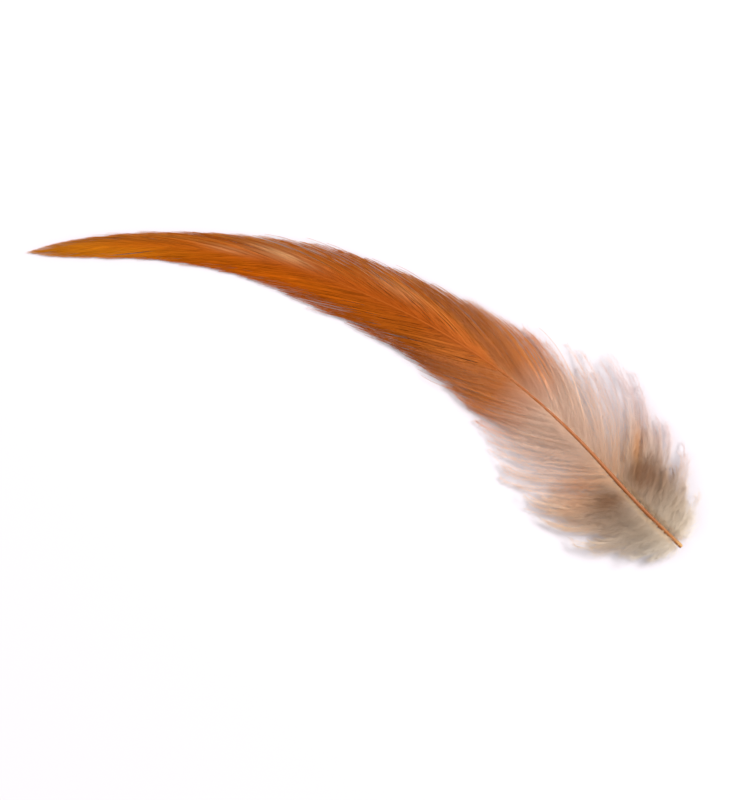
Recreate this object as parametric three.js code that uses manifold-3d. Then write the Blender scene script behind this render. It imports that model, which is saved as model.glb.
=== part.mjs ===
// One loose rooster neck hackle, lying on a surface with its glossy side up.
// Millimetres, +Z up. The tip points to -X, the quill end to +X, and the shaft bows towards +Y.
// The shaft tapers from quill to tip and carries a row of flattened, pointed locks of barbs on each side:
// short plump locks of down round the quill end, long open locks past them, then close locks that form
// the narrow blade. The locks of a side are webbed together near the shaft and part towards their points.

import * as THREE from 'three';
import { mergeVertices } from 'three/addons/utils/BufferGeometryUtils.js';
import Module from 'manifold-3d';

// Centre line of the shaft from the quill end to the tip: x, y and height above the surface.
const shaftCentreLine = [
  [56.1, -8.3, 1.3],
  [47.2, -5.1, 2.2],
  [33.5, 0.6, 2.6],
  [20.6, 4.5, 2.1],
  [8.6, 6.5, 1.5],
  [-2.7, 7.0, 1.1],
  [-13.6, 6.4, 0.8],
  [-23.8, 4.6, 0.6],
  [-33.5, 1.6, 0.5],
  [-42.8, -2.5, 0.45],
  [-53.5, -8.3, 0.4],
];

// These lists run along the shaft: each entry is a distance from the quill end and the value there.
const shaftRadius = [[0, 0.4], [1, 0.5], [30, 0.42], [60, 0.34], [90, 0.28], [115, 0.2]];
const lockSpacing = [[0, 1.5], [10, 1.7], [14, 2.4], [30, 2.8], [60, 3.4], [115, 3.4]];
// How far a lock's point lies from the shaft, by the point's own place along the shaft.
const tipOffset = [
  [1, 4.2], [4, 6.4], [8, 8.2], [14, 10.6], [20, 12.6], [26, 13.4], [31, 11], [36, 8.6], [42, 7],
  [50, 6.1], [60, 5.4], [70, 4.9], [78, 3.7], [88, 2.5], [98, 1.9], [108, 1.3], [118, 0.3],
];
// How far tipward of its root a lock's point lies, and the rest of a lock's make, by the root's place.
const tipReach = [[1, 0.6], [4, 5], [8, 11], [12, 15], [30, 19], [60, 19], [85, 16], [104, 12], [112, 7]];
const tipHeight = [[0, 1.5], [10, 1.7], [14, 0.8], [30, 0.5], [112, 0.3]];
const tipLift = [[0, 0.9], [10, 1], [16, 0.5], [36, 0.25], [112, 0.15]];
const lockThickness = [[0, 2.4], [4, 4.4], [9, 4.2], [13, 1.3], [30, 0.9], [60, 0.8], [112, 0.5]];
const webShare = [[0, 0.5], [9, 0.4], [14, 0.2], [28, 0.25], [36, 0.5], [60, 0.7], [112, 0.7]];

const firstLock = 0.9;
const lastLock = 108;
const lockRings = 6; // from the shaft to a lock's point
const webbedRings = 3;
const flankSpread = [0.85, 0.6, 0.15]; // past the web, how far a lock's flanks reach to its neighbours
const shortening = 0.22; // how much of its parted length the shortest lock lacks
const webFullness = 0.6; // thickness at a lock's flanks, as a share of that in its middle
const rootThickness = 0.9; // of the web in the shaft, as a share of the shaft's radius
const edgeThickness = 0.3; // at the points
const openness = 1.6; // how wide a lock stands off before it turns along the shaft
const droopEase = 0.8; // below 1, a lock sinks most near the shaft
const waverPaces = [2.9, 0.7]; // how fast the locks' unevenness changes along the shaft
const shaftSides = 6;
const shaftSteps = 26;
const groundSpan = 200;
const groundDepth = 10;

const shaftCurve = new THREE.CatmullRomCurve3(
  shaftCentreLine.map((place) => new THREE.Vector3(...place)),
  false,
  'catmullrom',
  0.5,
);
const shaftLength = shaftCurve.getLength();

const wasm = await Module();
wasm.setup();

// Reads one of the lists at a distance along the shaft, straight between its entries.
function readAt(list, distance) {
  if (distance <= list[0][0]) return list[0][1];
  for (let i = 1; i < list.length; i += 1) {
    const [start, before] = list[i - 1];
    const [end, after] = list[i];
    if (distance <= end) return before + ((after - before) * (distance - start)) / (end - start);
  }
  return list[list.length - 1][1];
}

// The shaft's centre and the level direction across it, towards +Y. Past the tip the line runs straight on.
function alongShaft(distance) {
  const share = THREE.MathUtils.clamp(distance / shaftLength, 0, 1);
  const centre = shaftCurve.getPointAt(share);
  const heading = shaftCurve.getTangentAt(share).setZ(0).normalize();
  centre.addScaledVector(heading, distance - share * shaftLength);
  return { centre, across: new THREE.Vector3(heading.y, -heading.x, 0) };
}

// A list of corners and a list of faces, as a closed solid that can be joined and cut.
function toSolid(corners, faces) {
  const skin = new THREE.BufferGeometry();
  const places = corners.flatMap((corner) => corner.toArray());
  skin.setAttribute('position', new THREE.Float32BufferAttribute(places, 3));
  skin.setIndex(faces);
  const merged = mergeVertices(skin, 1e-5);
  return new wasm.Manifold(new wasm.Mesh({
    numProp: 3,
    vertProperties: new Float32Array(merged.attributes.position.array),
    triVerts: new Uint32Array(merged.index.array),
  }));
}

// The shaft: a six-sided taper along the centre line, capped flat at the quill end and the tip.
function makeShaft() {
  const corners = [];
  const faces = [];
  for (let step = 0; step <= shaftSteps; step += 1) {
    const distance = (shaftLength * step) / shaftSteps;
    const { centre, across } = alongShaft(distance);
    const radius = readAt(shaftRadius, distance);
    for (let side = 0; side < shaftSides; side += 1) {
      const angle = (-side * 2 * Math.PI) / shaftSides;
      const corner = centre.clone().addScaledVector(across, radius * Math.cos(angle));
      corner.z += radius * Math.sin(angle);
      corners.push(corner);
    }
  }
  for (let step = 0; step < shaftSteps; step += 1) {
    for (let side = 0; side < shaftSides; side += 1) {
      const a = step * shaftSides + side;
      const b = step * shaftSides + ((side + 1) % shaftSides);
      faces.push(a, b, b + shaftSides, a, b + shaftSides, a + shaftSides);
    }
  }
  const last = shaftSteps * shaftSides;
  for (let side = 1; side < shaftSides - 1; side += 1) {
    faces.push(0, side + 1, side);
    faces.push(last, last + side, last + side + 1);
  }
  return toSolid(corners, faces);
}

// Where the locks' middles leave the shaft, and where the edges that two neighbours share leave it.
function listRoots() {
  const edges = [firstLock];
  const middles = [];
  while (edges[edges.length - 1] < lastLock) {
    const edge = edges[edges.length - 1];
    const spacing = readAt(lockSpacing, edge);
    middles.push(edge + spacing / 2);
    edges.push(edge + spacing);
  }
  return { edges, middles };
}

// Locks differ a little: a slow wave gives each a value from -1 to 1, unlike on the two sides.
function waver(side, root) {
  return Math.sin(waverPaces[0] * root + 2 * side) * Math.cos(waverPaces[1] * root - side);
}

// Rings are numbered outwards from the shaft. The webbed ones share out the web's part of a lock's
// length, and the others the part past it. The result is a share of the lock's whole length.
function shareAt(root, ring) {
  const webbed = readAt(webShare, root);
  if (ring <= webbedRings) return (webbed * ring) / webbedRings;
  return webbed + ((1 - webbed) * (ring - webbedRings)) / (lockRings - webbedRings);
}

// A lock leaves the shaft at an open angle, then turns along it towards the tip.
// side is 1 towards +Y and -1 towards -Y, and share runs from 0 at the shaft to 1 at the lock's point.
function placeOnLock(side, root, share) {
  const reach = readAt(tipReach, root);
  const offset = readAt(tipOffset, root + reach) * (1 - (1 - share) ** openness);
  const { centre, across } = alongShaft(root + reach * share);
  const rootHeight = alongShaft(root).centre.z;
  const height = rootHeight + (readAt(tipHeight, root) - rootHeight) * share ** droopEase;
  return centre.addScaledVector(across, side * offset).setZ(height);
}

// The middle of a lock at a ring. Past the web it is shortened and lifted by its own uneven amount.
function placeOnRidge(side, root, ring) {
  const webbed = readAt(webShare, root);
  const parted = Math.max(0, shareAt(root, ring) - webbed);
  const lack = parted * shortening * (0.5 + 0.5 * waver(side, root));
  const place = placeOnLock(side, root, shareAt(root, ring) - lack);
  place.z += (parted / (1 - webbed)) * readAt(tipLift, root) * waver(-side, root);
  return place;
}

// Thickness at a share of a lock's length: thin where it joins the shaft, fullest near the middle.
function thicknessAt(root, share, fullness) {
  const joined = readAt(shaftRadius, root) * rootThickness;
  const thin = joined + (edgeThickness - joined) * share;
  const swell = Math.sin(Math.PI * share ** 0.8);
  return Math.max(thin, readAt(lockThickness, root) * fullness * swell);
}

// All the locks of both sides, joined in the middle of the shaft. Rings of points run out from the shaft,
// over and under. Neighbouring locks share their edges up to the last webbed ring, and part from there.
function makeLocks() {
  const corners = [];
  const faces = [];
  const { edges, middles } = listRoots();
  // Adds the corners over and under a place, and gives the number of the one over it.
  const addPair = (place, thickness) => {
    const half = thickness / 2;
    corners.push(place.clone().setZ(place.z + half), place.clone().setZ(place.z - half));
    return corners.length - 2;
  };
  for (const side of [1, -1]) {
    const addQuad = (a, b, c, d) => faces.push(...(side === 1 ? [a, b, c, a, c, d] : [a, c, b, a, d, c]));
    const addSheet = (inner, outer) => {
      for (let ring = 0; ring < inner.length - 1; ring += 1) {
        addQuad(inner[ring], inner[ring + 1], outer[ring + 1], outer[ring]);
        addQuad(inner[ring] + 1, outer[ring] + 1, outer[ring + 1] + 1, inner[ring + 1] + 1);
      }
    };
    const addWall = (line) => {
      for (let i = 0; i < line.length - 1; i += 1) {
        addQuad(line[i], line[i + 1], line[i + 1] + 1, line[i] + 1);
      }
    };
    const webEdges = edges.map((root) => {
      const edge = [];
      for (let ring = 0; ring <= webbedRings; ring += 1) {
        const share = shareAt(root, ring);
        edge.push(addPair(placeOnLock(side, root, share), thicknessAt(root, share, webFullness)));
      }
      return edge;
    });
    for (const [i, root] of middles.entries()) {
      const ridge = [];
      const flanks = [[...webEdges[i]], [...webEdges[i + 1]]];
      for (let ring = 0; ring <= lockRings; ring += 1) {
        const share = shareAt(root, ring);
        const middle = placeOnRidge(side, root, ring);
        ridge.push(addPair(middle, thicknessAt(root, share, 1)));
        if (ring > webbedRings) {
          const spread = flankSpread[ring - webbedRings - 1];
          for (const [f, flank] of flanks.entries()) {
            const place = middle.clone().lerp(placeOnLock(side, edges[i + f], share), spread);
            flank.push(addPair(place, thicknessAt(root, share, webFullness)));
          }
        }
      }
      addSheet(flanks[0], ridge);
      addSheet(ridge, flanks[1]);
      addWall(flanks[0].slice(webbedRings).reverse());
      addWall(flanks[1].slice(webbedRings));
      addWall([flanks[1][lockRings], ridge[lockRings], flanks[0][lockRings]]);
    }
    addWall([...webEdges[0]].reverse());
    addWall(webEdges[webEdges.length - 1]);
  }
  return toSolid(corners, faces);
}

// Everything below the surface that the feather lies on, as a slab to cut away.
function makeGround() {
  const slab = new THREE.BoxGeometry(groundSpan, groundSpan, groundDepth);
  slab.translate(0, 0, -groundDepth / 2);
  const corners = [];
  for (let i = 0; i < slab.attributes.position.count; i += 1) {
    corners.push(new THREE.Vector3().fromBufferAttribute(slab.attributes.position, i));
  }
  return toSolid(corners, Array.from(slab.index.array));
}

function toMesh(solid, name, material) {
  const { vertProperties, triVerts } = solid.getMesh();
  const skin = new THREE.BufferGeometry();
  skin.setAttribute('position', new THREE.BufferAttribute(new Float32Array(vertProperties), 3));
  skin.setIndex(new THREE.BufferAttribute(new Uint32Array(triVerts), 1));
  skin.computeVertexNormals();
  const mesh = new THREE.Mesh(skin, material);
  mesh.name = name;
  return mesh;
}

const rustOrange = new THREE.MeshStandardMaterial({ color: 0xb0651c, roughness: 0.45, metalness: 0 });
const feather = makeShaft().add(makeLocks()).subtract(makeGround());

const hackle = new THREE.Group();
hackle.add(toMesh(feather, 'hackle_feather', rustOrange));

export default hackle;
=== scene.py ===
"""One loose rooster neck hackle lying on a pale table, glossy side up, seen from straight above."""

import bpy
import numpy as np
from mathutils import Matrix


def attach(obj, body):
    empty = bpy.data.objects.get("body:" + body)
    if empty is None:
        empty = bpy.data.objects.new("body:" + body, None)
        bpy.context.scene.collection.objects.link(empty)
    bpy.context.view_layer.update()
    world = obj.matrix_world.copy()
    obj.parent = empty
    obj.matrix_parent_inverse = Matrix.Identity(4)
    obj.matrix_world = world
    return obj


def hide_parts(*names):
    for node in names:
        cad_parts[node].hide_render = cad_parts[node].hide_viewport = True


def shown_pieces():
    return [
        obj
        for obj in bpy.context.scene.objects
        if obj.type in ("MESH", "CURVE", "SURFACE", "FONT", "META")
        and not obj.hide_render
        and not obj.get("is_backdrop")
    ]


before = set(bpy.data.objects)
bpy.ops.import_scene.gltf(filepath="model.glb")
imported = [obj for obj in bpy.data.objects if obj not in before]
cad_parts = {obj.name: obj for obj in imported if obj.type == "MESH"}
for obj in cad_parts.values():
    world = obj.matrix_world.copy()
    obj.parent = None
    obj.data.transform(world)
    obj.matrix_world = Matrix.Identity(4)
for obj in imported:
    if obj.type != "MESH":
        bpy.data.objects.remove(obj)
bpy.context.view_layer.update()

# The shaft is one long taper of keratin. The round quill end sat in the skin and has a small opening in its
# blunt end, and the solid part beyond it is squarer, grooved below, and thins to a hair at the tip. It is
# horn-yellow at the end and rust brown from there on, with a hard gloss and fine lines along it.
MM = 0.001  # in metres: sizes here are in mm, and meshes in metres
UP = np.array([0, 0, 1])
# Centre line from the quill end to the tip, in mm: x, y and height above the table.
SHAFT_LINE = [
    (56.1, -8.3, 1.3), (47.2, -5.1, 2.2), (33.5, 0.6, 2.6), (20.6, 4.5, 2.1), (8.6, 6.5, 1.5),
    (-2.7, 7.0, 1.1), (-13.6, 6.4, 0.8), (-23.8, 4.6, 0.6), (-33.5, 1.6, 0.5), (-42.8, -2.5, 0.45),
    (-53.5, -8.3, 0.4),
]
SAMPLES_PER_STRETCH = 60
COARSE_STEP = 6  # every sixth sample is near enough to say where a point lies beside the shaft
POINTS_AT_ONCE = 20000  # placed beside the shaft together, to spare memory
# Places along the shaft, and its radius there, in mm.
SHAFT_RADIUS = [
    (0, 0.3), (0.5, 0.36), (5, 0.38), (14, 0.33), (22, 0.29), (31, 0.24), (45, 0.14), (60, 0.09), (90, 0.06),
    (115, 0.03),
]
SHAFT_SIDES = 16
SHAFT_RINGS = 220
RING_SPREAD = 1.15  # above 1, rings are closer together near the quill
ROUND_TO, SQUARE_FROM = 4, 18  # mm along the shaft, between which its section turns from round to square
CORNER_RISE = 0.1  # of the square section's corners, as a share of the radius
GROOVE_DEPTH = 0.3  # as a share of the radius
GROOVE_RISE = 0.04  # how far above the shaft's lowest line the groove fades out, as a share of the radius
QUILL_OPENING = 0.22  # radius of the hole in the blunt end, in mm
QUILL_OPENING_DEPTH = 0.9
OPENING_TAPER = 0.6  # the hole's radius at its far end, as a share of its mouth's
MAP_MARGIN = 0.02  # left free round the shaft on its baked map


def smooth_line(points, steps):
    """A smooth line through the points, with steps samples to each stretch between two of them."""
    ends = np.vstack([2 * points[0] - points[1], points, 2 * points[-1] - points[-2]])
    t = np.linspace(0, 1, steps, endpoint=False)[:, None]
    stretches = []
    for before, start, end, after in zip(ends, ends[1:], ends[2:], ends[3:]):
        bend = 2 * before - 5 * start + 4 * end - after
        twist = -before + 3 * start - 3 * end + after
        stretches.append(0.5 * (2 * start + (end - before) * t + bend * t**2 + twist * t**3))
    return np.vstack([*stretches, points[-1:]])


def unit(vectors):
    """The vectors' directions, each 1 long."""
    return vectors / np.linalg.norm(vectors, axis=-1, keepdims=True)


def read_at(table, distance):
    """Reads a list of (distance along the shaft, value) pairs, straight between its entries."""
    places, values = zip(*table)
    return np.interp(distance, places, values)


shaft_line = smooth_line(np.array(SHAFT_LINE), SAMPLES_PER_STRETCH)
line_places = np.append(0, np.cumsum(np.linalg.norm(np.diff(shaft_line, axis=0), axis=1)))
line_headings = unit(np.gradient(shaft_line[:, :2], line_places, axis=0))
shaft_length = line_places[-1]
shaft_turns = np.linspace(0, 2 * np.pi, SHAFT_SIDES, endpoint=False)


def along_shaft(distance):
    """The shaft's centre at a distance from the quill end, and the level direction across it, towards +Y."""
    held = np.clip(distance, 0, shaft_length)
    centre = np.stack([np.interp(held, line_places, shaft_line[:, k]) for k in range(3)], -1)
    heading = unit(np.stack([np.interp(held, line_places, line_headings[:, k]) for k in range(2)], -1))
    centre[..., :2] += heading * (distance - held)[..., None]
    across = np.stack([heading[..., 1], -heading[..., 0], np.zeros_like(held)], -1)
    return centre, across


def place_beside_shaft(points):
    """How far along the shaft each point lies from the quill end, and how far to its +Y side, in mm."""
    marks = slice(None, None, COARSE_STEP)
    line, headings, places = shaft_line[marks, :2], line_headings[marks], line_places[marks]
    found = []
    for part in np.array_split(points[:, :2], max(1, len(points) // POINTS_AT_ONCE)):
        near = ((part[:, None] - line[None]) ** 2).sum(-1).argmin(1)
        step = part - line[near]
        along = places[near] + (step * headings[near]).sum(1)
        beside = step[:, 0] * headings[near, 1] - step[:, 1] * headings[near, 0]
        found.append(np.stack([along, beside], 1))
    return np.vstack(found)


def make_piece(name, points, faces, share, strand, map_place):
    """A mesh on the feather from points in mm and lists of faces with 3, 4 or more corners. Each point holds
    where it is beside the shaft, its share of the way out along its barb and a number of its barb's own, for
    the materials, and its place on the map for baking."""
    corners = np.concatenate([f.ravel() for f in faces])
    counts = np.concatenate([np.full(len(f), f.shape[1]) for f in faces])
    mesh = bpy.data.meshes.new(name)
    mesh.vertices.add(len(points))
    mesh.vertices.foreach_set("co", (points * MM).astype(np.float32).ravel())
    mesh.loops.add(len(corners))
    mesh.loops.foreach_set("vertex_index", corners.astype(np.int32))
    mesh.polygons.add(len(counts))
    mesh.polygons.foreach_set("loop_start", (np.cumsum(counts) - counts).astype(np.int32))
    mesh.polygons.foreach_set("use_smooth", np.ones(len(counts), bool))
    where = np.column_stack([place_beside_shaft(points), share]).astype(np.float32)
    mesh.attributes.new("place_on_feather", "FLOAT_VECTOR", "POINT").data.foreach_set("vector", where.ravel())
    mesh.attributes.new("strand", "FLOAT", "POINT").data.foreach_set("value", strand.astype(np.float32))
    layer = mesh.uv_layers.new(name="OFBake")
    layer.data.foreach_set("uv", map_place[corners].astype(np.float32).ravel())
    mesh.update(calc_edges=True)
    mesh.validate()
    piece = bpy.data.objects.new(name, mesh)
    bpy.context.scene.collection.objects.link(piece)
    return piece


def linear(red, green, blue):
    """A colour given as it looks on screen, 0 to 255, as the light values that a shader takes."""
    screen = np.array([red, green, blue]) / 255
    light = np.where(screen <= 0.04045, screen / 12.92, ((screen + 0.055) / 1.055) ** 2.4)
    return (*light.tolist(), 1.0)


def add_node(tree, kind, settings, inputs):
    """A node with its settings, and its inputs by name or number: each a value, or a socket to link."""
    node = tree.nodes.new(kind)
    for name, value in settings.items():
        setattr(node, name, value)
    for name, value in inputs.items():
        if isinstance(value, bpy.types.NodeSocket):
            tree.links.new(value, node.inputs[name])
        else:
            node.inputs[name].default_value = value
    return node


def math(tree, operation, *values, clamp=False):
    settings = {"operation": operation, "use_clamp": clamp}
    return add_node(tree, "ShaderNodeMath", settings, dict(enumerate(values))).outputs[0]


def mix(tree, share, first, second):
    """A colour between two colours. The node's colour sockets are its inputs 6 and 7 and its output 2."""
    return add_node(tree, "ShaderNodeMix", {"data_type": "RGBA"}, {0: share, 6: first, 7: second}).outputs[2]


def tint(tree, colour, other, *shares):
    """A colour drawn towards another one, by the product of the shares."""
    share, *factors = shares
    for factor in factors:
        share = math(tree, "MULTIPLY", share, factor)
    return mix(tree, share, colour, other)


def fade(tree, value, none, full):
    """0 where the value is at one limit or before it, 1 at the other or past it, and even between the two."""
    slope = 1 / (full - none)
    return math(tree, "MULTIPLY_ADD", value, slope, -none * slope, clamp=True)


def ramp(tree, value, stops):
    """A smooth run of colours over (position, colour) stops."""
    node = add_node(tree, "ShaderNodeValToRGB", {}, {0: value})
    elements = node.color_ramp.elements
    while len(elements) < len(stops):
        elements.new(0.5)
    for element, (position, colour) in zip(elements, stops):
        element.position = position
        element.color = colour
    return node.outputs[0]


def noise(tree, vector, scale, detail):
    inputs = {"Vector": vector, "Scale": scale, "Detail": detail}
    return add_node(tree, "ShaderNodeTexNoise", {}, inputs).outputs[0]


def read_attribute(tree, name):
    return add_node(tree, "ShaderNodeAttribute", {"attribute_name": name}, {}).outputs


def read_place(tree):
    """Where a point is on the feather: mm along the shaft, mm beside it, and share of the way out."""
    where = read_attribute(tree, "place_on_feather")["Vector"]
    return add_node(tree, "ShaderNodeSeparateXYZ", {}, {0: where}).outputs


def new_material(name):
    """A material whose node tree holds only its shader, and that shader."""
    material = bpy.data.materials.new(name)
    material.use_nodes = True
    return material, material.node_tree, material.node_tree.nodes["Principled BSDF"]


def shaft_section():
    """Places of the shaft's rings and their points: round at the quill, squarer further on, grooved below."""
    places = shaft_length * np.linspace(0, 1, SHAFT_RINGS) ** RING_SPREAD
    squareness = np.clip((places - ROUND_TO) / (SQUARE_FROM - ROUND_TO), 0, 1)[:, None]
    corner = 1 + CORNER_RISE * squareness * np.sin(2 * shaft_turns) ** 2
    groove = 1 - GROOVE_DEPTH * squareness * np.exp(-(1 + np.sin(shaft_turns)) / GROOVE_RISE)
    reach = read_at(SHAFT_RADIUS, places)[:, None] * corner * groove
    centre, across = along_shaft(places)
    level = across[:, None] * (reach * np.cos(shaft_turns))[..., None]
    upright = UP * (reach * np.sin(shaft_turns))[..., None]
    return places, centre[:, None] + level + upright


def tube_faces(rings, sides):
    """Quads between neighbouring rings of points."""
    ring, side = np.meshgrid(np.arange(rings - 1), np.arange(sides), indexing="ij")
    here, beside = ring * sides + side, ring * sides + (side + 1) % sides
    return np.stack([here, here + sides, beside + sides, beside], -1).reshape(-1, 4)


def make_shaft():
    places, outside = shaft_section()
    centre, across = along_shaft(np.array([0.0, QUILL_OPENING_DEPTH]))
    circle = across[0] * np.cos(shaft_turns)[:, None] + UP * np.sin(shaft_turns)[:, None]
    mouth = centre[0] + circle * QUILL_OPENING
    far_end = centre[1] + circle * QUILL_OPENING * OPENING_TAPER
    points = np.concatenate([far_end, mouth, outside.reshape(-1, 3)])
    rings = SHAFT_RINGS + 2
    share = np.repeat(np.append([0, 0], places / shaft_length), SHAFT_SIDES)
    around = np.tile(np.abs(np.linspace(-1, 1, SHAFT_SIDES)), rings)
    map_place = MAP_MARGIN + (1 - 2 * MAP_MARGIN) * np.column_stack([share, around])
    first_ring = np.arange(SHAFT_SIDES)[None]
    caps = [first_ring, first_ring[:, ::-1] + (rings - 1) * SHAFT_SIDES]
    return make_piece("shaft", points, [tube_faces(rings, SHAFT_SIDES), *caps], share, around, map_place)


def shaft_finish():
    material, tree, shader = new_material("shaft_keratin")
    along, beside, _ = read_place(tree)
    colour = ramp(tree, math(tree, "DIVIDE", along, shaft_length), [
        (0.0, linear(220, 174, 112)), (0.015, linear(178, 118, 66)), (0.05, linear(152, 92, 48)),
        (0.18, linear(166, 100, 54)), (0.32, linear(174, 92, 34)), (0.45, linear(178, 86, 8)),
        (0.85, linear(200, 106, 6)), (1.0, linear(208, 128, 30)),
    ])
    thick = fade(tree, along, 48.0, 8.0)
    shaded_side = fade(tree, beside, 0.0667, -0.2667)
    colour = tint(tree, colour, linear(122, 62, 26), shaded_side, thick)
    stretched = add_node(tree, "ShaderNodeMapping", {}, {
        "Vector": read_attribute(tree, "place_on_feather")["Vector"], "Scale": (0.35, 14, 0),
    }).outputs[0]
    lines = noise(tree, stretched, 1.6, 4)
    colour = tint(tree, colour, linear(110, 48, 16), lines, 0.36)
    tree.links.new(colour, shader.inputs["Base Color"])
    bump = add_node(tree, "ShaderNodeBump", {}, {"Strength": 0.25, "Distance": 0.00003, "Height": lines})
    tree.links.new(bump.outputs[0], shader.inputs["Normal"])
    tree.links.new(math(tree, "MULTIPLY_ADD", thick, -0.2, 0.55), shader.inputs["Roughness"])
    tree.links.new(math(tree, "MULTIPLY", thick, 0.08), shader.inputs["Coat Weight"])
    shader.inputs["Coat Roughness"].default_value = 0.3
    shader.inputs["Specular IOR Level"].default_value = 0.15
    return material


shaft = make_shaft()
shaft.data.materials.append(shaft_finish())
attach(shaft, "root")
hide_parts("hackle_feather")

# The down grows from both sides of the quill: soft barbs that stand off the shaft and curl, each with
# hundreds of long, loose barbules that mat into fluff and fray into wisps at its edge. Beige by the quill, it
# has a grey-brown patch on each side and a rusty tinge beyond. It is dull, because its fibres lie every way.
SIDES = {"outer": 1, "inner": -1}  # of the shaft's bow: outer is towards +Y
OPENNESS = 1.6  # how wide a barb stands off before it turns along the shaft
DROOP = 0.8  # below 1, a barb sinks most near the shaft
ROOT_RISE = 0.7  # how far above the shaft's centre barbs grow from it, as a share of its radius
LOWEST, HIGHEST = 0.03, 4.6  # of a barbule's tip above the table, in mm
FEATHER_LENGTH = 118.0  # from the quill end to the tips of the last barbs, in mm
# How far a barb's tip lies from the shaft, by the tip's own place along it, and how far tipward of its root
# the tip lies, by the root's place. All in mm.
TIP_OFFSET = [
    (1, 4.8), (4, 7.2), (8, 9.8), (14, 12.4), (20, 13.6), (26, 13.8), (31, 11.4), (36, 8.8), (42, 7.2),
    (50, 6.2), (60, 5.4), (70, 4.9), (78, 3.8), (88, 2.7), (98, 2.0), (106, 1.6), (110, 1.25), (113, 0.8),
    (115.5, 0.12), (FEATHER_LENGTH, 0.0),
]
TIP_REACH = [
    (1, 0.8), (4, 5), (8, 10), (12, 14), (24, 18), (36, 22), (62, 24), (80, 21), (96, 14), (106, 8),
    (113, 3.2),
]
BARB_CORNERS = np.array([(-1, 0), (0, 1), (1, 0)])  # of a barb's section: flat below, with a ridge on top
FIRST_BARBULE, LAST_BARBULE = 0.02, 0.99  # where barbules grow on a barb, as shares of the way out along it
STRAND_STRAY = 0.002  # how far barbs' own numbers, from 0 to 1, stray from their order along the shaft
NOT_ALONG_BARBULES = [0.02, 0.03, 1]  # a direction that no barbule takes
# The baked map has a column for each barb. For each point of a barbule: how far out across that column it
# lies, and which way it slips along it, so that no face is folded shut there.
STRAIGHT_ON_MAP = [(0.2, -1), (0.22, 0), (0.2, 1), (1.0, 0)]
BENT_ON_MAP = [(0.2, 0), (0.55, -1), (0.57, 0), (0.55, 1), (1.0, 0)]
MAP_SLIP = 0.0015
STEM_ON_MAP = 0.3  # how far out the barb's own edges lie
COLUMN_GAP, COLUMN_END = 0.02, 0.01  # left free on both sides of a column, and at both its ends

# The down's own sizes are in mm, and its barbules' lean in degrees. A (least, most) pair is drawn from for
# each barb or barbule, and a (root, tip) pair runs evenly from the one to the other.
DOWN_CROWDING = [(0.8, 0.5), (3, 1.0), (9, 1.0), (13, 0.35)]  # places along the shaft, and how crowded it is
DOWN_BARBS = 84
DOWN_STEPS = 20
DOWN_ROOT_STRAY = 0.15
DOWN_TUFT = (3, 6)  # barbs in a tuft: the fewest, and one above the most
DOWN_SIZE = (0.3, 1.45)  # of a barb, against the tables above
DOWN_SIZE_RARITY = 1.8  # above 1, large barbs are rarer than small ones
DOWN_REACH_STRAY = (0.9, 1.1)
DOWN_OFFSET_STRAY = (0.9, 1.08)
DOWN_STANDING = (0.2, 1.0)  # how far off the shaft a barb of no size and one of size 1 would stand
WISP_OFFSET = 11.5  # from the shaft, past which wisps hardly go on
WISP_LOSS = 0.75  # of what would go past it
DOWN_TIP_HEIGHT = (0.3, 2.4)
DOWN_HUMP = (-0.5, 1.4)
DOWN_PULL, DOWN_PULL_EASE = (0.3, 0.85), 1.3
DOWN_SWAY = ((0.3, 0.8), 0.3)  # sideways: turns along a barb (least, most), and size
DOWN_BOB = ((0.5, 1.3), 0.5)  # up and down, the same way
DOWN_HEIGHT = (0.25, 3.9)
DOWN_WIDTH = (0.028, 0.0084)  # half the width of a barb (root, tip)
DOWN_FLUFFINESS = (0.3, 1.0)  # of a tuft: how much its barbules lean and kink
DOWN_BARBULES = 27000
DOWN_EVENNESS = 0.7  # the higher, the less small barbs are fluffier than large ones
DOWN_BARBULE_CROWDING = 1.35  # above 1, barbules are closer together near their barb's root
DOWN_LEAN = (15, 55)
DOWN_NEAR_HALF = 0.5  # of a barb, where barbules lean the same in every tuft
DOWN_ROLL = 0.7  # radians up or down round the barb
DOWN_BARBULE_LENGTH = (2.4, 1.3)  # of a barbule that grows at the barb's (root, tip)
DOWN_LENGTH_STRAY = (0.35, 1.15)
DOWN_BARBULE_RADIUS = (0.0108, 0.0063)
DOWN_KINK = 0.2
DOWN_BEND = (0, 0.5)  # of a barbule along its barb, as shares of its length
DOWN_STRAND_STRAY = 0.01


def spread_roots(chance, crowding, count, stray):
    """Places along the shaft, as close together at each as the crowding there says, but for a stray."""
    fine = np.linspace(crowding[0][0], crowding[-1][0], 2000)
    crowd = np.cumsum(read_at(crowding, fine))
    return np.interp(np.linspace(crowd[0], crowd[-1], count), crowd, fine) + chance.normal(0, stray, count)


def clumps(chance, count, sizes):
    """Numbers neighbouring barbs by the clump they belong to."""
    ends = np.cumsum(chance.integers(*sizes, count))
    return np.searchsorted(ends, np.arange(count), side="right")


def gather(chance, lines, clump, pull, ease):
    """Draws the barbs of each clump together towards their tips, each clump by its own pull between two
    limits. The ease is how late along the barbs the pull comes."""
    share = np.linspace(0, 1, lines.shape[1])[None, :, None]
    means = np.stack([lines[clump == c].mean(0) for c in range(clump.max() + 1)])
    pulls = chance.uniform(*pull, clump.max() + 1)[clump, None, None]
    return lines + (means[clump] - lines) * pulls * share**ease


def number_strands(chance, roots):
    """A number from 0 to 1 for each barb, in the order of their roots, that the materials draw streaks by."""
    order = (roots - roots.min()) / (roots.max() - roots.min())
    return np.clip(order + chance.normal(0, STRAND_STRAY, len(roots)), 0, 1)


def number_barbules(chance, own, barb, stray):
    """Such numbers for barbules, near their barb's."""
    return np.clip(own[barb] + chance.normal(0, stray, len(barb)), 0, 1)


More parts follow.
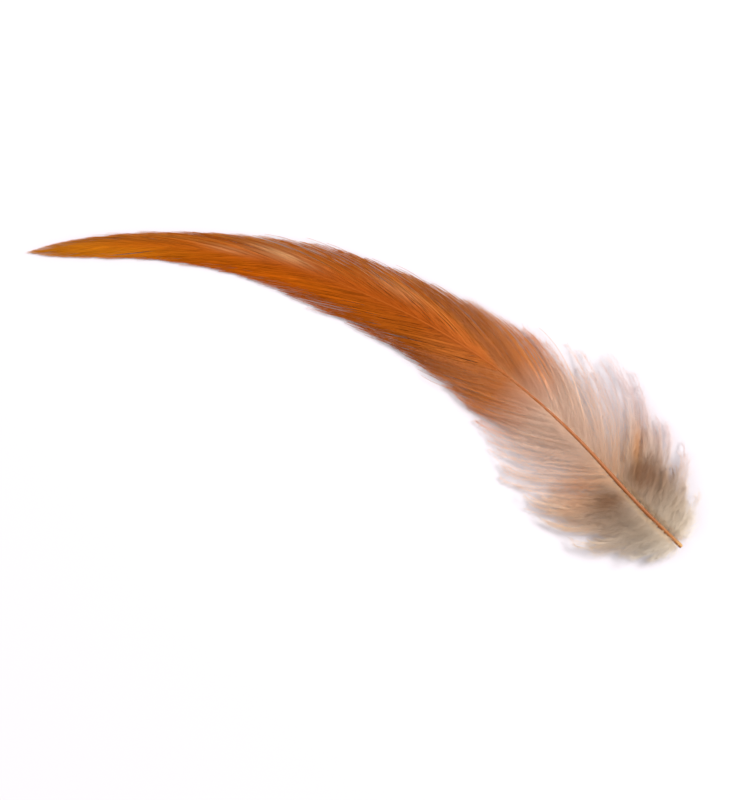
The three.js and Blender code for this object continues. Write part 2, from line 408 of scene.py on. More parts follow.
def share_out(chance, lines, total, richness=1):
    """Which barb each of a number of barbules grows on: longer and richer barbs have more."""
    shares = np.linalg.norm(np.diff(lines, axis=1), axis=2).sum(1) * richness
    return chance.choice(len(lines), total, p=shares / shares.sum())


def place_barbules(chance, total, last, crowding):
    """Shares of the way out along their barbs, up to a last one, where barbules grow."""
    return FIRST_BARBULE + (last - FIRST_BARBULE) * chance.uniform(0, 1, total) ** crowding


def taper(ends, share):
    """Runs evenly from the first value, where the share is 0, to the second, where it is 1."""
    return ends[0] + (ends[1] - ends[0]) * share


def lay_barbs(side, roots, reach, offset, tip_height, hump, steps):
    """Centre lines of barbs. Each leaves the shaft at an open angle and turns along it towards the tip, while
    its height goes from the shaft's to its tip's over a hump."""
    share = np.linspace(0, 1, steps)[None]
    centre, across = along_shaft(roots[:, None] + reach[:, None] * share)
    out = side * offset[:, None] * (1 - (1 - share) ** OPENNESS)
    lines = centre + across * out[..., None]
    root_height = along_shaft(roots)[0][:, 2:] + ROOT_RISE * read_at(SHAFT_RADIUS, roots)[:, None]
    sunk = (tip_height[:, None] - root_height) * share**DROOP
    lines[..., 2] = root_height + sunk + hump[:, None] * np.sin(np.pi * share)
    return lines


def waves(chance, lines, turns, size):
    """A slow wave for each line, nothing at its root and most at its tip."""
    count, steps = lines.shape[:2]
    share = np.linspace(0, 1, steps)[None]
    phase = chance.uniform(0, 2 * np.pi, (count, 1))
    pace = chance.uniform(*turns, (count, 1))
    return chance.normal(0, size, (count, 1)) * share * np.sin(2 * np.pi * pace * share + phase)


def sway(chance, lines, roots, turns, size, looseness=1):
    """Barbs that wave sideways, each by its own looseness."""
    across = along_shaft(roots)[1][:, None]
    return lines + across * (looseness * waves(chance, lines, turns, size))[..., None]


def bob(chance, lines, turns, size, limits):
    """Barbs that wave up and down between two heights."""
    height = np.clip(lines[..., 2] + waves(chance, lines, turns, size), *limits)
    return np.concatenate([lines[..., :2], height[..., None]], -1)


def sweep_barbs(lines, width, height, tilt):
    """A three-sided section swept along each line: points and faces, closed at both ends. width is half its
    base at each point, and tilt turns a flat section like the slats of a blind."""
    count, steps = lines.shape[:2]
    corners = len(BARB_CORNERS)
    heading = unit(np.gradient(lines, axis=1))
    level = unit(np.cross(heading, UP))
    upright = np.cross(level, heading)
    leaning = level * np.cos(tilt)[..., None] + upright * np.sin(tilt)[..., None]
    rising = upright * np.cos(tilt)[..., None] - level * np.sin(tilt)[..., None]
    rings = [
        lines + leaning * (a * width)[..., None] + rising * (b * height)[..., None] for a, b in BARB_CORNERS
    ]
    points = np.stack(rings, 2).reshape(-1, 3)
    first = np.arange(count)[:, None, None] * steps * corners
    sides = first + tube_faces(steps, corners)[None, :, ::-1]
    ends = first + np.array([[0, 1, 2], [2, 1, 0]]) + np.array([[0], [corners * (steps - 1)]])
    return points, [sides.reshape(-1, 4), ends.reshape(-1, 3)]


def on_lines(lines, barb, share):
    """Points and headings on the lines at shares of their length."""
    step = share * (lines.shape[1] - 1)
    low = np.minimum(step.astype(int), lines.shape[1] - 2)
    start, end = lines[barb, low], lines[barb, low + 1]
    return start + (end - start) * (step - low)[:, None], unit(end - start)


def point_barbules(lines, barb, share, lean, roll):
    """Which hand of its barb each barbule grows on, in turn, and its direction: leaning off the barb by one
    angle and rolled up or down round it by another."""
    heading = on_lines(lines, barb, share)[1]
    level = unit(np.cross(heading, UP))
    upright = np.cross(level, heading)
    hand = np.where(np.arange(len(barb)) % 2, 1, -1)
    outward = level * (hand * np.cos(roll))[:, None] + upright * np.sin(roll)[:, None]
    return hand, unit(heading * np.cos(lean)[:, None] + outward * np.sin(lean)[:, None])


def grow_spikes(roots, directions, lengths, radius, bend):
    """Barbules: three-sided spikes with a foot and a point, or where they bend, with a point at both ends and
    a knee half way between."""
    level = unit(np.cross(directions, NOT_ALONG_BARBULES))
    upright = np.cross(level, directions)
    angles = 2 * np.pi * np.arange(3) / 3
    spokes = level[:, None] * np.cos(angles)[:, None] + upright[:, None] * np.sin(angles)[:, None]
    spokes = spokes * radius[:, None, None]
    tips = roots + directions * lengths[:, None]
    if bend is None:
        feet = roots[:, None] + spokes
        tips[:, 2] = np.clip(tips[:, 2], LOWEST, HIGHEST)
        points = np.concatenate([feet, tips[:, None]], 1)
        faces = [(2, 1, 0), (0, 1, 3), (1, 2, 3), (2, 0, 3)]
    else:
        knees = roots + directions * lengths[:, None] * 0.5
        tips += bend
        for places in (knees, tips):
            places[:, 2] = np.clip(places[:, 2], LOWEST, HIGHEST)
        points = np.concatenate([roots[:, None], knees[:, None] + spokes, tips[:, None]], 1)
        faces = [(2, 1, 0), (3, 2, 0), (1, 3, 0), (1, 2, 4), (2, 3, 4), (3, 1, 4)]
    first = np.arange(len(roots))[:, None, None] * points.shape[1]
    return points.reshape(-1, 3), [(first + np.array(faces)[None]).reshape(-1, 3)]


def join_parts(name, parts, columns):
    """One piece from parts, each (points, faces, share, barb, strand, sideways): sideways is from -1 to 1
    across the barb's own column of the baked map, and share runs up it."""
    points, faces, share, strand, map_place, held = [], [], [], [], [], 0
    for part_points, part_faces, part_share, barb, part_strand, sideways in parts:
        points.append(part_points)
        faces += [group + held for group in part_faces]
        share.append(part_share)
        strand.append(part_strand)
        across = (barb + 0.5 + (0.5 - COLUMN_GAP) * sideways) / columns
        up_column = COLUMN_END + (1 - 2 * COLUMN_END) * np.clip(part_share, 0, 1)
        map_place.append(np.column_stack([across, up_column]))
        held += len(part_points)
    joined = [np.concatenate(x) for x in (points, share, strand, map_place)]
    return make_piece(name, joined[0], faces, *joined[1:])


def barb_part(lines, width, height, strand, tilt=0.0):
    """The barbs' own stems, ready for join_parts."""
    count, steps = lines.shape[:2]
    points, faces = sweep_barbs(lines, width, height, tilt)
    corners = len(BARB_CORNERS)
    share = np.tile(np.repeat(np.linspace(0, 1, steps), corners), count)
    barb = np.repeat(np.arange(count), steps * corners)
    sideways = np.tile(BARB_CORNERS[:, 0] * STEM_ON_MAP, count * steps)
    return points, faces, share, barb, strand[barb], sideways


def barbule_part(lines, barb, share, directions, lengths, radius, strand, sideways, bend=None):
    """Barbules on barbs, ready for join_parts."""
    roots = on_lines(lines, barb, share)[0]
    points, faces = grow_spikes(roots, directions, lengths, radius, bend)
    out, slip = np.array(STRAIGHT_ON_MAP if bend is None else BENT_ON_MAP).T
    each = len(out)
    share = (share[:, None] + MAP_SLIP * slip).ravel()
    sideways = (sideways[:, None] * out).ravel()
    return points, faces, share, np.repeat(barb, each), np.repeat(strand, each), sideways


def make_down(name, side, seed):
    chance = np.random.default_rng(seed)
    count, total = DOWN_BARBS, DOWN_BARBULES
    roots = spread_roots(chance, DOWN_CROWDING, count, DOWN_ROOT_STRAY)
    clump = clumps(chance, count, DOWN_TUFT)
    tuft_size, own_size = chance.uniform(0, 1, count)[clump], chance.uniform(0, 1, count)
    size = taper(DOWN_SIZE, ((tuft_size + own_size) / 2) ** DOWN_SIZE_RARITY)
    reach = read_at(TIP_REACH, roots) * size * chance.uniform(*DOWN_REACH_STRAY, count)
    offset = read_at(TIP_OFFSET, roots + reach) * taper(DOWN_STANDING, size)
    offset *= chance.uniform(*DOWN_OFFSET_STRAY, count)
    offset -= WISP_LOSS * np.clip(offset - WISP_OFFSET, 0, None)
    tip_height = chance.uniform(*DOWN_TIP_HEIGHT, count)
    hump = chance.uniform(*DOWN_HUMP, count)
    lines = lay_barbs(side, roots, reach, offset, tip_height, hump, DOWN_STEPS)
    lines = gather(chance, lines, clump, DOWN_PULL, DOWN_PULL_EASE)
    lines = sway(chance, lines, roots, *DOWN_SWAY)
    fluffiness = chance.uniform(*DOWN_FLUFFINESS, count)[clump]
    lines = bob(chance, lines, *DOWN_BOB, DOWN_HEIGHT)
    width = taper(DOWN_WIDTH, np.linspace(0, 1, DOWN_STEPS)[None])
    own = number_strands(chance, roots)
    stems = barb_part(lines, width, width, own)
    barb = share_out(chance, lines, total, 1 / (DOWN_EVENNESS + size))
    at = place_barbules(chance, total, LAST_BARBULE, DOWN_BARBULE_CROWDING)
    lean = np.radians(chance.uniform(*DOWN_LEAN, total))
    lean *= np.where(at > DOWN_NEAR_HALF, fluffiness[barb], 1)
    roll = chance.normal(0, DOWN_ROLL, total)
    hand, directions = point_barbules(lines, barb, at, lean, roll)
    lengths = taper(DOWN_BARBULE_LENGTH, at) * chance.uniform(*DOWN_LENGTH_STRAY, total)
    radius = taper(DOWN_BARBULE_RADIUS, at)
    kink = chance.normal(0, DOWN_KINK, (total, 3)) * fluffiness[barb][:, None]
    heading = on_lines(lines, barb, at)[1]
    bend = heading * (lengths * chance.uniform(*DOWN_BEND, total))[:, None] + kink
    strand = number_barbules(chance, own, barb, DOWN_STRAND_STRAY)
    fluff = barbule_part(lines, barb, at, directions, lengths, radius, strand, hand, bend)
    return join_parts(name, [stems, fluff], count)


# The materials tell the two sides' streaks apart by this step in the noise they are drawn from.
INNER_STREAKS = 3.7
# The grey-brown patch on each side of the down, in mm.
PATCH_MIDDLE = (13.2, 2.6)  # along the shaft, and beside it where its strands don't slip outwards
PATCH_SIZE = (2.3, 3.0)
PATCH_SLANT = 0.1  # how far towards the quill it moves for each mm to the +Y side
PATCH_TAIL = 0.6  # how fast it fades towards the quill, against towards the tip
PATCH_STRENGTH = (0.95, 0.035)  # at the shaft, and what each mm to the +Y side adds
PATCH_MOST = 0.86
TINGE_SLANT = 0.95  # mm beside the shaft for each mm along it, where barbs of the outer down run


def streaks_group():
    """Streaks that run along the barbs: a mask that differs from barb to barb and slowly along each."""
    group = bpy.data.node_groups.new("barb_streaks", "ShaderNodeTree")
    for name, value in (("Fineness", 40.0), ("Run", 0.15), ("Contrast", 1.0)):
        group.interface.new_socket(name, in_out="INPUT", socket_type="NodeSocketFloat").default_value = value
    group.interface.new_socket("Streak", in_out="OUTPUT", socket_type="NodeSocketFloat")
    given = group.nodes.new("NodeGroupInput").outputs
    strand = read_attribute(group, "strand")["Fac"]
    along, beside, _ = read_place(group)
    vector = add_node(group, "ShaderNodeCombineXYZ", {}, {
        0: math(group, "MULTIPLY", strand, given["Fineness"]),
        1: math(group, "MULTIPLY", along, given["Run"]),
        2: math(group, "MULTIPLY", math(group, "LESS_THAN", beside, 0.0), INNER_STREAKS),
    })
    centred = math(group, "SUBTRACT", noise(group, vector.outputs[0], 1.0, 3), 0.5)
    spread = math(group, "MULTIPLY_ADD", centred, given["Contrast"], 0.5, clamp=True)
    group.links.new(spread, group.nodes.new("NodeGroupOutput").inputs[0])
    return group


def spot(tree, along, beside, centre, size):
    """A soft spot, 1 in its middle and fading out past its size."""
    one = math(tree, "DIVIDE", math(tree, "SUBTRACT", along, centre[0]), size[0])
    other = math(tree, "DIVIDE", math(tree, "SUBTRACT", beside, centre[1]), size[1])
    squared = math(tree, "ADD", math(tree, "MULTIPLY", one, one), math(tree, "MULTIPLY", other, other))
    return math(tree, "POWER", 0.36, squared)


def plumage_group():
    """The feather's colours by place: taupe down with grey-brown patches, salmon open barbs, a rust and
    orange blade with a golden tip. Patch is the strength of the patches, and Slip is how far out along its
    strand each lies, in mm. Pale is a share of cream under them, and Root is the strength of the lighter,
    warmer bases of the barbs beside the shaft: partly their own warm colour and partly painted light that
    lifts the shade next to the shaft."""
    group = bpy.data.node_groups.new("plumage_colours", "ShaderNodeTree")
    for name, value in (("Patch", 1.0), ("Slip", 0.0), ("Pale", 0.0), ("Root", 0.0)):
        group.interface.new_socket(name, in_out="INPUT", socket_type="NodeSocketFloat").default_value = value
    group.interface.new_socket("Colour", in_out="OUTPUT", socket_type="NodeSocketColor")
    given = group.nodes.new("NodeGroupInput").outputs
    along, beside, _ = read_place(group)
    aside = math(group, "ABSOLUTE", beside)
    colour = ramp(group, math(group, "DIVIDE", along, FEATHER_LENGTH), [
        (0.0, linear(248, 234, 212)), (0.06, linear(234, 208, 178)), (0.14, linear(250, 210, 174)),
        (0.18, linear(254, 222, 198)), (0.25, linear(252, 218, 194)), (0.32, linear(228, 142, 72)),
        (0.45, linear(178, 90, 12)), (0.65, linear(188, 92, 0)), (0.84, linear(206, 112, 2)),
        (0.92, linear(220, 134, 10)), (1.0, linear(228, 150, 32)),
    ])
    colour = mix(group, given["Pale"], colour, linear(250, 240, 226))
    outer = fade(group, beside, -10.0, 10.0)
    far_out = fade(group, aside, 4.69, 10.94)
    before_blade = fade(group, along, 36.0, 26.0)
    colour = tint(group, colour, linear(242, 220, 216), far_out, outer, before_blade)
    taupe = spot(group, along, aside, (8.5, 3.8), (5.5, 4.0))
    colour = tint(group, colour, linear(146, 110, 80), taupe, 0.38)
    pale_fluff = spot(group, along, beside, (1.0, -6.0), (5.0, 2.8))
    colour = tint(group, colour, linear(246, 238, 228), pale_fluff, 0.5)
    slanted = math(group, "MULTIPLY_ADD", along, -TINGE_SLANT, beside)
    outer_tinge = spot(group, along, slanted, (15.8, -9.5), (2.8, 1.2))
    colour = tint(group, colour, linear(240, 170, 96), outer_tinge, 0.65)
    inner_tinge = spot(group, along, beside, (17.0, -5.5), (3.4, 3.4))
    colour = tint(group, colour, linear(224, 146, 76), inner_tinge, 0.45)
    past_patch = math(group, "SUBTRACT", along, PATCH_MIDDLE[0])
    past_patch = math(group, "MULTIPLY_ADD", beside, PATCH_SLANT, past_patch)
    past_patch = math(group, "MAXIMUM", past_patch, math(group, "MULTIPLY", past_patch, PATCH_TAIL))
    slipped = math(group, "SUBTRACT", aside, given["Slip"])
    patch = spot(group, past_patch, slipped, (0.0, PATCH_MIDDLE[1]), PATCH_SIZE)
    strength = math(group, "MULTIPLY_ADD", beside, PATCH_STRENGTH[1], PATCH_STRENGTH[0])
    patch = math(group, "MINIMUM", math(group, "MULTIPLY", patch, strength), PATCH_MOST)
    colour = tint(group, colour, linear(148, 92, 46), patch, given["Patch"])
    # The barbs' bases beside the shaft are drawn lighter and warmer: partly their own warm colour, partly
    # painted light that lifts the shade next to the shaft.
    warm_and_lit_bases = fade(group, aside, 1.222, 0.111)
    colour = tint(group, colour, linear(255, 214, 160), warm_and_lit_bases, given["Root"])
    group.links.new(colour, group.nodes.new("NodeGroupOutput").inputs[0])
    return group


streaks, plumage = streaks_group(), plumage_group()


def use_group(tree, group, inputs):
    return add_node(tree, "ShaderNodeGroup", {"node_tree": group}, inputs).outputs[0]


def down_finish():
    material, tree, shader = new_material("down_fluff")
    streak = use_group(tree, streaks, {"Fineness": 26.0, "Run": 0.25, "Contrast": 2.6})
    tuft = use_group(tree, streaks, {"Fineness": 30.0, "Run": 0.0, "Contrast": 3.0})
    colour = use_group(tree, plumage, {
        "Patch": math(tree, "MULTIPLY_ADD", streak, -0.3, 1.05),
        "Slip": math(tree, "MULTIPLY", math(tree, "MULTIPLY", tuft, tuft), 4.6),
        "Pale": math(tree, "MULTIPLY", streak, 0.5),
        "Root": 0.6,
    })
    tree.links.new(colour, shader.inputs["Base Color"])
    shader.inputs["Roughness"].default_value = 0.75
    shader.inputs["Specular IOR Level"].default_value = 0.2
    shader.inputs["Sheen Weight"].default_value = 0.05
    return material


down_fluff = down_finish()
for word, side in SIDES.items():
    down = make_down(f"down_{word}", side, 11 + side)
    down.data.materials.append(down_fluff)
    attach(down, "root")
    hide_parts("hackle_feather")

# Past the down the barbs are long, thin and apart, so the table shows between them. They bow out from the
# shaft and gather into loose strands, and a haze of short barbules on both sides of each catches the light.
# Salmon to tan, with a faint silky shine. They thin out under the first barbs of the blade.
OPEN_CROWDING = [(10, 0.5), (14, 0.9), (18, 1.0), (26, 1.0), (38, 0.2)]
OPEN_BARBS = 100
OPEN_STEPS = 24
OPEN_ROOT_STRAY = 0.12
OPEN_STRAND = (2, 5)  # barbs in a loose strand: the fewest, and one above the most
WIDE_SHARES = {"outer": 0.55, "inner": 0.65}  # of the barbs, that stand widest off the shaft
WIDE_OFFSET, NARROW_OFFSET = (0.8, 1.0), (0.45, 0.8)  # of those barbs and the others, against TIP_OFFSET
OPEN_REACH_STRAY = (0.75, 1.06)
OPEN_TIP_HEIGHT = (0.3, 1.3)
OPEN_HUMP = (-0.2, 0.6)
OPEN_PULL, OPEN_PULL_EASE = (0.0, 0.4), 1.5
OPEN_SWAY = ((0.4, 0.9), 0.35)
OPEN_BOB = ((0.5, 1.2), 0.2)
OPEN_HEIGHT = (0.2, 3.5)
OPEN_WIDTH = (0.026, 0.0091)
OPEN_BARBULES = 43000
OPEN_BARBULE_CROWDING = 1.25
OPEN_LEAN = (12, 50)
OPEN_ROLL = 0.4
OPEN_BARBULE_LENGTH = (2.5, 1.2)
OPEN_LENGTH_STRAY = (0.4, 1.15)
OPEN_BARBULE_RADIUS = (0.0088, 0.006)
OPEN_STRAND_STRAY = 0.004


def make_open_barbs(name, side, wide_share, seed):
    chance = np.random.default_rng(seed)
    count, total = OPEN_BARBS, OPEN_BARBULES
    roots = spread_roots(chance, OPEN_CROWDING, count, OPEN_ROOT_STRAY)
    clump = clumps(chance, count, OPEN_STRAND)
    wide = (chance.uniform(0, 1, count) < wide_share)[clump]
    reach = read_at(TIP_REACH, roots) * chance.uniform(*OPEN_REACH_STRAY, count)
    spread = np.where(wide, chance.uniform(*WIDE_OFFSET, count), chance.uniform(*NARROW_OFFSET, count))
    offset = read_at(TIP_OFFSET, roots + reach) * spread
    tip_height = chance.uniform(*OPEN_TIP_HEIGHT, count)
    hump = chance.uniform(*OPEN_HUMP, count)
    lines = lay_barbs(side, roots, reach, offset, tip_height, hump, OPEN_STEPS)
    lines = gather(chance, lines, clump, OPEN_PULL, OPEN_PULL_EASE)
    lines = sway(chance, lines, roots, *OPEN_SWAY)
    lines = bob(chance, lines, *OPEN_BOB, OPEN_HEIGHT)
    width = taper(OPEN_WIDTH, np.linspace(0, 1, OPEN_STEPS)[None])
    own = number_strands(chance, roots)
    stems = barb_part(lines, width, width, own)
    barb = share_out(chance, lines, total)
    at = place_barbules(chance, total, LAST_BARBULE, OPEN_BARBULE_CROWDING)
    lean, roll = np.radians(chance.uniform(*OPEN_LEAN, total)), chance.normal(0, OPEN_ROLL, total)
    hand, directions = point_barbules(lines, barb, at, lean, roll)
    lengths = taper(OPEN_BARBULE_LENGTH, at) * chance.uniform(*OPEN_LENGTH_STRAY, total)
    radius = taper(OPEN_BARBULE_RADIUS, at)
    strand = number_barbules(chance, own, barb, OPEN_STRAND_STRAY)
    haze = barbule_part(lines, barb, at, directions, lengths, radius, strand, hand)
    return join_parts(name, [stems, haze], count)


def open_barb_finish():
    material, tree, shader = new_material("open_barbs_silk")
    streak = use_group(tree, streaks, {"Fineness": 45.0, "Run": 0.1, "Contrast": 2.4})
    slip = math(tree, "MULTIPLY", streak, 3.0)
    colour = use_group(tree, plumage, {"Patch": 0.4, "Slip": slip, "Root": 0.2})
    colour = tint(tree, colour, linear(184, 126, 98), streak, 0.35)
    tree.links.new(colour, shader.inputs["Base Color"])
    shader.inputs["Roughness"].default_value = 0.5
    shader.inputs["Specular IOR Level"].default_value = 0.35
    return material


open_barbs_silk = open_barb_finish()
for word, side in SIDES.items():
    barbs = make_open_barbs(f"open_barbs_{word}", side, WIDE_SHARES[word], 23 + side)
    barbs.data.materials.append(open_barbs_silk)
    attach(barbs, "root")
    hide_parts("hackle_feather")

# The blade is hundreds of close barbs a side that sweep along the shaft to a long point. Near the shaft short
# barbules web them together, and their smooth outer ends lie free, in fine pointed locks with a soft silky
# gloss. Rust on its outer half, golden brown on its inner half and golden at the tip, with paler loose barbs,
# painted glints streaked along the free ends and painted light on the widest edges.
BLADE_CROWDING = [(21, 0.08), (25, 0.3), (31, 1.0), (60, 1.0), (100, 0.8), (113, 0.6)]
BLADE_BARBS = 650
BLADE_STEPS = 22
BLADE_ROOT_STRAY = 0.05
LOOSE_SHARE = 0.08  # of the barbs, that stick out past the edge
LOOSE_OFFSET = (1.02, 1.22)  # of those barbs, against TIP_OFFSET
LAST_LOOSE = 90  # mm along the shaft, past which none do
BLADE_REACH_STRAY = (0.84, 1.02)
BLADE_OFFSET_STRAY = (0.86, 1.02)
BLADE_TIP_HEIGHT = [(20, 0.6), (60, 0.45), (113, 0.3)]
BLADE_TIP_HEIGHT_STRAY = (-0.08, 0.12)
BLADE_HUMP = 0.1
LOCK_BARBS, LOCK_PULL = (8, 26), (0.0, 0.35)  # of the pointed locks along the edge
LOCK_TIP_BARBS, LOCK_TIP_PULL = (2, 6), (0.0, 0.3)  # of the fine points within them
LOCK_EASE = 3.0
BLADE_LOOSENESS = [(70, 1), (90, 0.4), (110, 0.2)]  # places along the shaft, and how free the barbs are there
BLADE_SWAY = ((0.4, 1.0), 0.12)
BLADE_HEIGHT_STRAY = 0.04
BLADE_HEIGHT = (0.12, 3.5)
BARB_SIZE = [(27, 1), (80, 0.8), (113, 0.4)]  # places along the shaft, and the barbs' thickness there
FULL_WIDTH_TO = 0.15  # share of a barb's length, past which its stem tapers
BLADE_WIDTH, BLADE_THICKNESS = (0.052, 0.018), (0.03, 0.013)  # of the stem: half its width, and its ridge
WEB_WIDTH = 0.05  # what the flat web adds to half the width
WEB_FOOT = 0.02  # how much of that is there at the root
WEB_FADE = (0.35, 0.65)  # shares of a barb's length between which the flat web runs out
BLADE_TILT = np.radians(6)  # of the barbs near the shaft, like the slats of a blind
BLADE_TILT_STRAY = np.radians(5)
WEB_BARBULES = 18  # on each barb
WEB_SHARE = 0.55  # of a barb's length that barbules grow on
WEB_LEAN = (10, 26)
WEB_LENGTH = (0.8, 0.3)
WEB_LENGTH_STRAY = (0.7, 1.1)
WEB_RADIUS = 0.013
WEB_STRAND_STRAY = 0.001
# Pale locks on the outer half: centre (mm along the shaft, mm beside a slanted line), size and strength.
PALE_LOCKS = [
    ((77.0, -3.15), (5.0, 0.8), 0.3), ((85.0, -4.6), (4.0, 0.5), 0.13), ((58.5, -0.8), (4.5, 0.9), 0.12),
]
LOCK_SLANT = 0.06  # of that line, in mm away from the shaft for each mm along it
# Golden bands on the inner half: centre (mm along the shaft, mm beside it), size, strength and colour.
GOLDEN_BANDS = [
    ((80.0, -2.1), (14.0, 1.0), 0.5, (228, 112, 2)), ((103.0, -1.3), (8.0, 0.9), 0.5, (240, 146, 22)),
]


def make_blade(name, side, seed):
    chance = np.random.default_rng(seed)
    count = BLADE_BARBS
    roots = spread_roots(chance, BLADE_CROWDING, count, BLADE_ROOT_STRAY)
    stray = np.where(chance.uniform(0, 1, count) < LOOSE_SHARE, chance.uniform(*LOOSE_OFFSET, count), 1)
    stray = np.where(roots < LAST_LOOSE, stray, 1)
    reach = read_at(TIP_REACH, roots) * chance.uniform(*BLADE_REACH_STRAY, count)
    offset = read_at(TIP_OFFSET, roots + reach) * chance.uniform(*BLADE_OFFSET_STRAY, count) * stray
    tip_height = read_at(BLADE_TIP_HEIGHT, roots) + chance.uniform(*BLADE_TIP_HEIGHT_STRAY, count)
    hump = np.full(count, BLADE_HUMP)
    straight = lay_barbs(side, roots, reach, offset, tip_height, hump, BLADE_STEPS)
    lines = gather(chance, straight, clumps(chance, count, LOCK_BARBS), LOCK_PULL, LOCK_EASE)
    lines = gather(chance, lines, clumps(chance, count, LOCK_TIP_BARBS), LOCK_TIP_PULL, LOCK_EASE)
    looseness = read_at(BLADE_LOOSENESS, roots)[:, None]
    lines = straight + (lines - straight) * looseness[..., None]
    lines = sway(chance, lines, roots, *BLADE_SWAY, looseness)
    share = np.linspace(0, 1, BLADE_STEPS)[None]
    lines[..., 2] += chance.normal(0, BLADE_HEIGHT_STRAY, (count, 1)) * np.sqrt(share)
    lines[..., 2] = np.clip(lines[..., 2], *BLADE_HEIGHT)
    size = read_at(BARB_SIZE, roots)[:, None]
    tapered = np.interp(share, (FULL_WIDTH_TO, 1), (0, 1))
    web = np.interp(share, WEB_FADE, (1, 0))
    width = size * (taper(BLADE_WIDTH, tapered) + WEB_WIDTH * web * np.sqrt(share + WEB_FOOT))
    thickness = size * taper(BLADE_THICKNESS, tapered)
    tilt = (BLADE_TILT * side + chance.normal(0, BLADE_TILT_STRAY, (count, 1))) * web
    own = number_strands(chance, roots)
    stems = barb_part(lines, width, thickness, own, tilt)
    barb = np.repeat(np.arange(count), WEB_BARBULES)
    total = len(barb)
    at = place_barbules(chance, total, WEB_SHARE, 1)
    lean = np.radians(chance.uniform(*WEB_LEAN, total))
    hand, directions = point_barbules(lines, barb, at, lean, np.zeros(total))
    lengths = taper(WEB_LENGTH, at) * chance.uniform(*WEB_LENGTH_STRAY, total) * size[barb, 0]
    radius = np.full(total, WEB_RADIUS)
    strand = number_barbules(chance, own, barb, WEB_STRAND_STRAY)
    webbing = barbule_part(lines, barb, at, directions, lengths, radius, strand, hand)
    return join_parts(name, [stems, webbing], count)


def blade_finish():
    material, tree, shader = new_material("blade_gloss")
    along, beside, share = read_place(tree)
    aside = math(tree, "ABSOLUTE", beside)
    colour = use_group(tree, plumage, {"Patch": 0.0})
    outer = fade(tree, beside, -1.0, 1.857)
    settled = fade(tree, along, 30.0, 44.286)
    colour = tint(tree, colour, linear(178, 82, 16), outer, settled, 0.5)
    middle = fade(tree, aside, 3.03, 0.0)
    before_tip = fade(tree, along, 105.0, 80.0)
    colour = tint(tree, colour, linear(140, 58, 0), middle, before_tip, settled, 0.54)
    # Painted light: the blade's widest edges are drawn paler orange, to lift the shade that falls among their
    # free barbs.
    painted_light_on_edge = spot(tree, along, aside, (39.0, 4.0), (8.0, 2.0))
    colour = tint(tree, colour, linear(244, 148, 66), painted_light_on_edge, 0.65)
    streak = use_group(tree, streaks, {"Fineness": 110.0, "Run": 0.05, "Contrast": 2.4})
    colour = tint(tree, colour, linear(160, 68, 0), streak, settled, 0.4)
    # Paler streaks along the barbs' free ends: partly their own paler tan, partly painted glints, strongest
    # on the outer half and near the base of the blade.
    free_end = math(tree, "POWER", share, 1.4)
    glint_and_lock_streaks = use_group(tree, streaks, {"Fineness": 120.0, "Run": 0.03, "Contrast": 5.0})
    near_base = fade(tree, along, 60.0, -6.667)
    paler = math(tree, "MULTIPLY_ADD", outer, 0.5, near_base)
    colour = tint(tree, colour, linear(236, 170, 84), free_end, glint_and_lock_streaks, paler)
    for centre, size, strength, golden in GOLDEN_BANDS:
        colour = tint(tree, colour, linear(*golden), spot(tree, along, beside, centre, size), strength)
    slanted = math(tree, "MULTIPLY_ADD", along, -LOCK_SLANT, beside)
    for centre, size, strength in PALE_LOCKS:
        lock = math(tree, "MULTIPLY_ADD", glint_and_lock_streaks, strength, strength)
        colour = tint(tree, colour, linear(232, 190, 138), spot(tree, along, slanted, centre, size), lock)
    tree.links.new(colour, shader.inputs["Base Color"])
    tree.links.new(math(tree, "MULTIPLY_ADD", streak, 0.15, 0.36), shader.inputs["Roughness"])
    shader.inputs["Metallic"].default_value = 0.35
    shader.inputs["Specular IOR Level"].default_value = 0.12
    return material


blade_gloss = blade_finish()
for word, side in SIDES.items():
    blade = make_blade(f"blade_barbs_{word}", side, 37 + side)
    blade.data.materials.append(blade_gloss)
    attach(blade, "root")
    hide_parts("hackle_feather")

# The stage: a plain pale table top under soft studio light. A broad lamp up on the right gives the feather
# its shape and a faint shadow, a second one fills from the left, and the sky is an even white.
FLOOR_SIZE = 3.0  # in metres, as the lamps' places and sizes are
LAMPS = {
    "key_lamp": {"place": (0.35, 0.45, 0.75), "size": 0.35, "power": 8.6},
    "fill_lamp": {"place": (-0.55, -0.25, 0.6), "size": 0.6, "power": 2.0},
}
SKY_STRENGTH = 0.65


def make_floor():
    half = FLOOR_SIZE / 2
    corners = [(-half, -half, 0), (half, -half, 0), (half, half, 0), (-half, half, 0)]
    mesh = bpy.data.meshes.new("table_top")
    mesh.from_pydata(corners, [], [(0, 1, 2, 3)])
    floor = bpy.data.objects.new("table_top", mesh)
    bpy.context.scene.collection.objects.link(floor)
    material, _, shader = new_material("table_white")
    shader.inputs["Base Color"].default_value = linear(217, 211, 216)
    shader.inputs["Roughness"].default_value = 0.7
    shader.inputs["Specular IOR Level"].default_value = 0.2
    mesh.materials.append(material)
    return floor


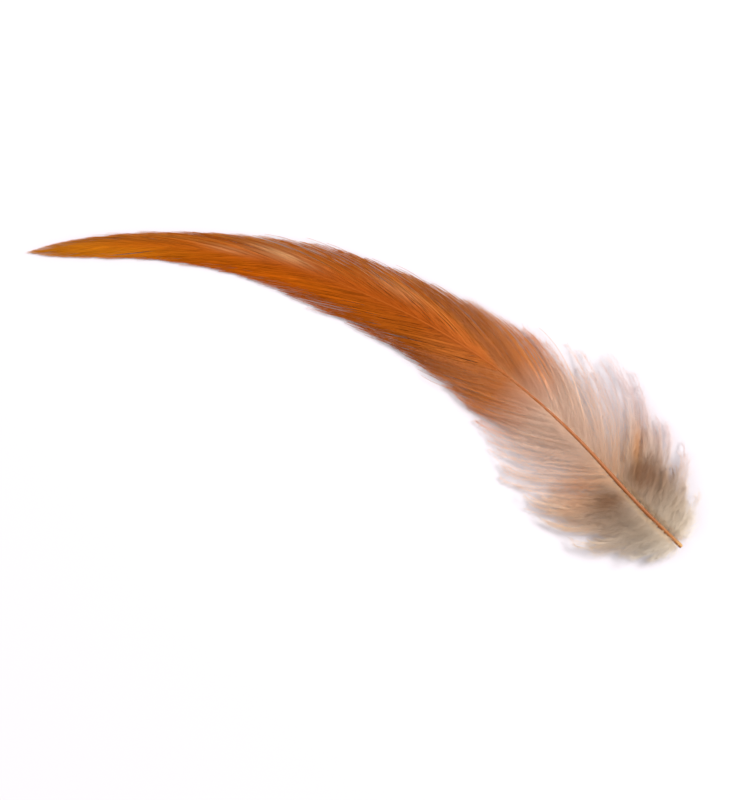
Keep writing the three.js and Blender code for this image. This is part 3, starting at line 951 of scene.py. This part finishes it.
def make_lamp(name, place, size, power):
    """A round lamp that faces the feather."""
    light = bpy.data.lights.new(name, "AREA")
    light.shape = "DISK"
    light.size = size
    light.energy = power
    lamp = bpy.data.objects.new(name, light)
    lamp.location = place
    lamp.rotation_euler = (-lamp.location).to_track_quat("-Z", "Y").to_euler()
    bpy.context.scene.collection.objects.link(lamp)


make_floor()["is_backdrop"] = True
for name, lamp in LAMPS.items():
    make_lamp(name, **lamp)
world = bpy.data.worlds.new("soft_white_sky")
world.use_nodes = True
sky = world.node_tree.nodes["Background"]
sky.inputs["Color"].default_value = (1, 1, 1, 1)
sky.inputs["Strength"].default_value = SKY_STRENGTH
bpy.context.scene.world = world
bpy.context.scene.view_settings.view_transform = "Standard"

# The camera looks straight down, turned so that the tip points up and to the left. It is as near as lets the
# whole feather into the picture.
CAMERA_TURN = np.radians(24.4)
LENS, SENSOR = 85.0, 36.0  # in mm
IMAGE_WIDTH, IMAGE_HEIGHT = 730, 800
FILL = 0.93  # share of the picture's width that the feather takes
NEAREST_SEEN = 0.01  # in metres from the camera


def make_camera():
    right = np.array([np.cos(CAMERA_TURN), np.sin(CAMERA_TURN)])
    up = np.array([-np.sin(CAMERA_TURN), np.cos(CAMERA_TURN)])
    seen = []
    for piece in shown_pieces():
        places = np.empty(len(piece.data.vertices) * 3, np.float32)
        piece.data.vertices.foreach_get("co", places)
        places = places.reshape(-1, 3)[:, :2]
        seen.append(places @ np.stack([right, up], 1))
    low, high = np.vstack(seen).min(0), np.vstack(seen).max(0)
    middle = (low + high) / 2
    across_picture = SENSOR * IMAGE_WIDTH / IMAGE_HEIGHT
    distance = (high - low)[0] / FILL * LENS / across_picture
    data = bpy.data.cameras.new("camera")
    data.lens = LENS
    data.sensor_width = SENSOR
    data.clip_start = NEAREST_SEEN
    camera = bpy.data.objects.new("camera", data)
    camera.location = (*(right * middle[0] + up * middle[1]), distance)
    camera.rotation_euler = (0, 0, CAMERA_TURN)
    bpy.context.scene.collection.objects.link(camera)
    bpy.context.scene.camera = camera


make_camera()
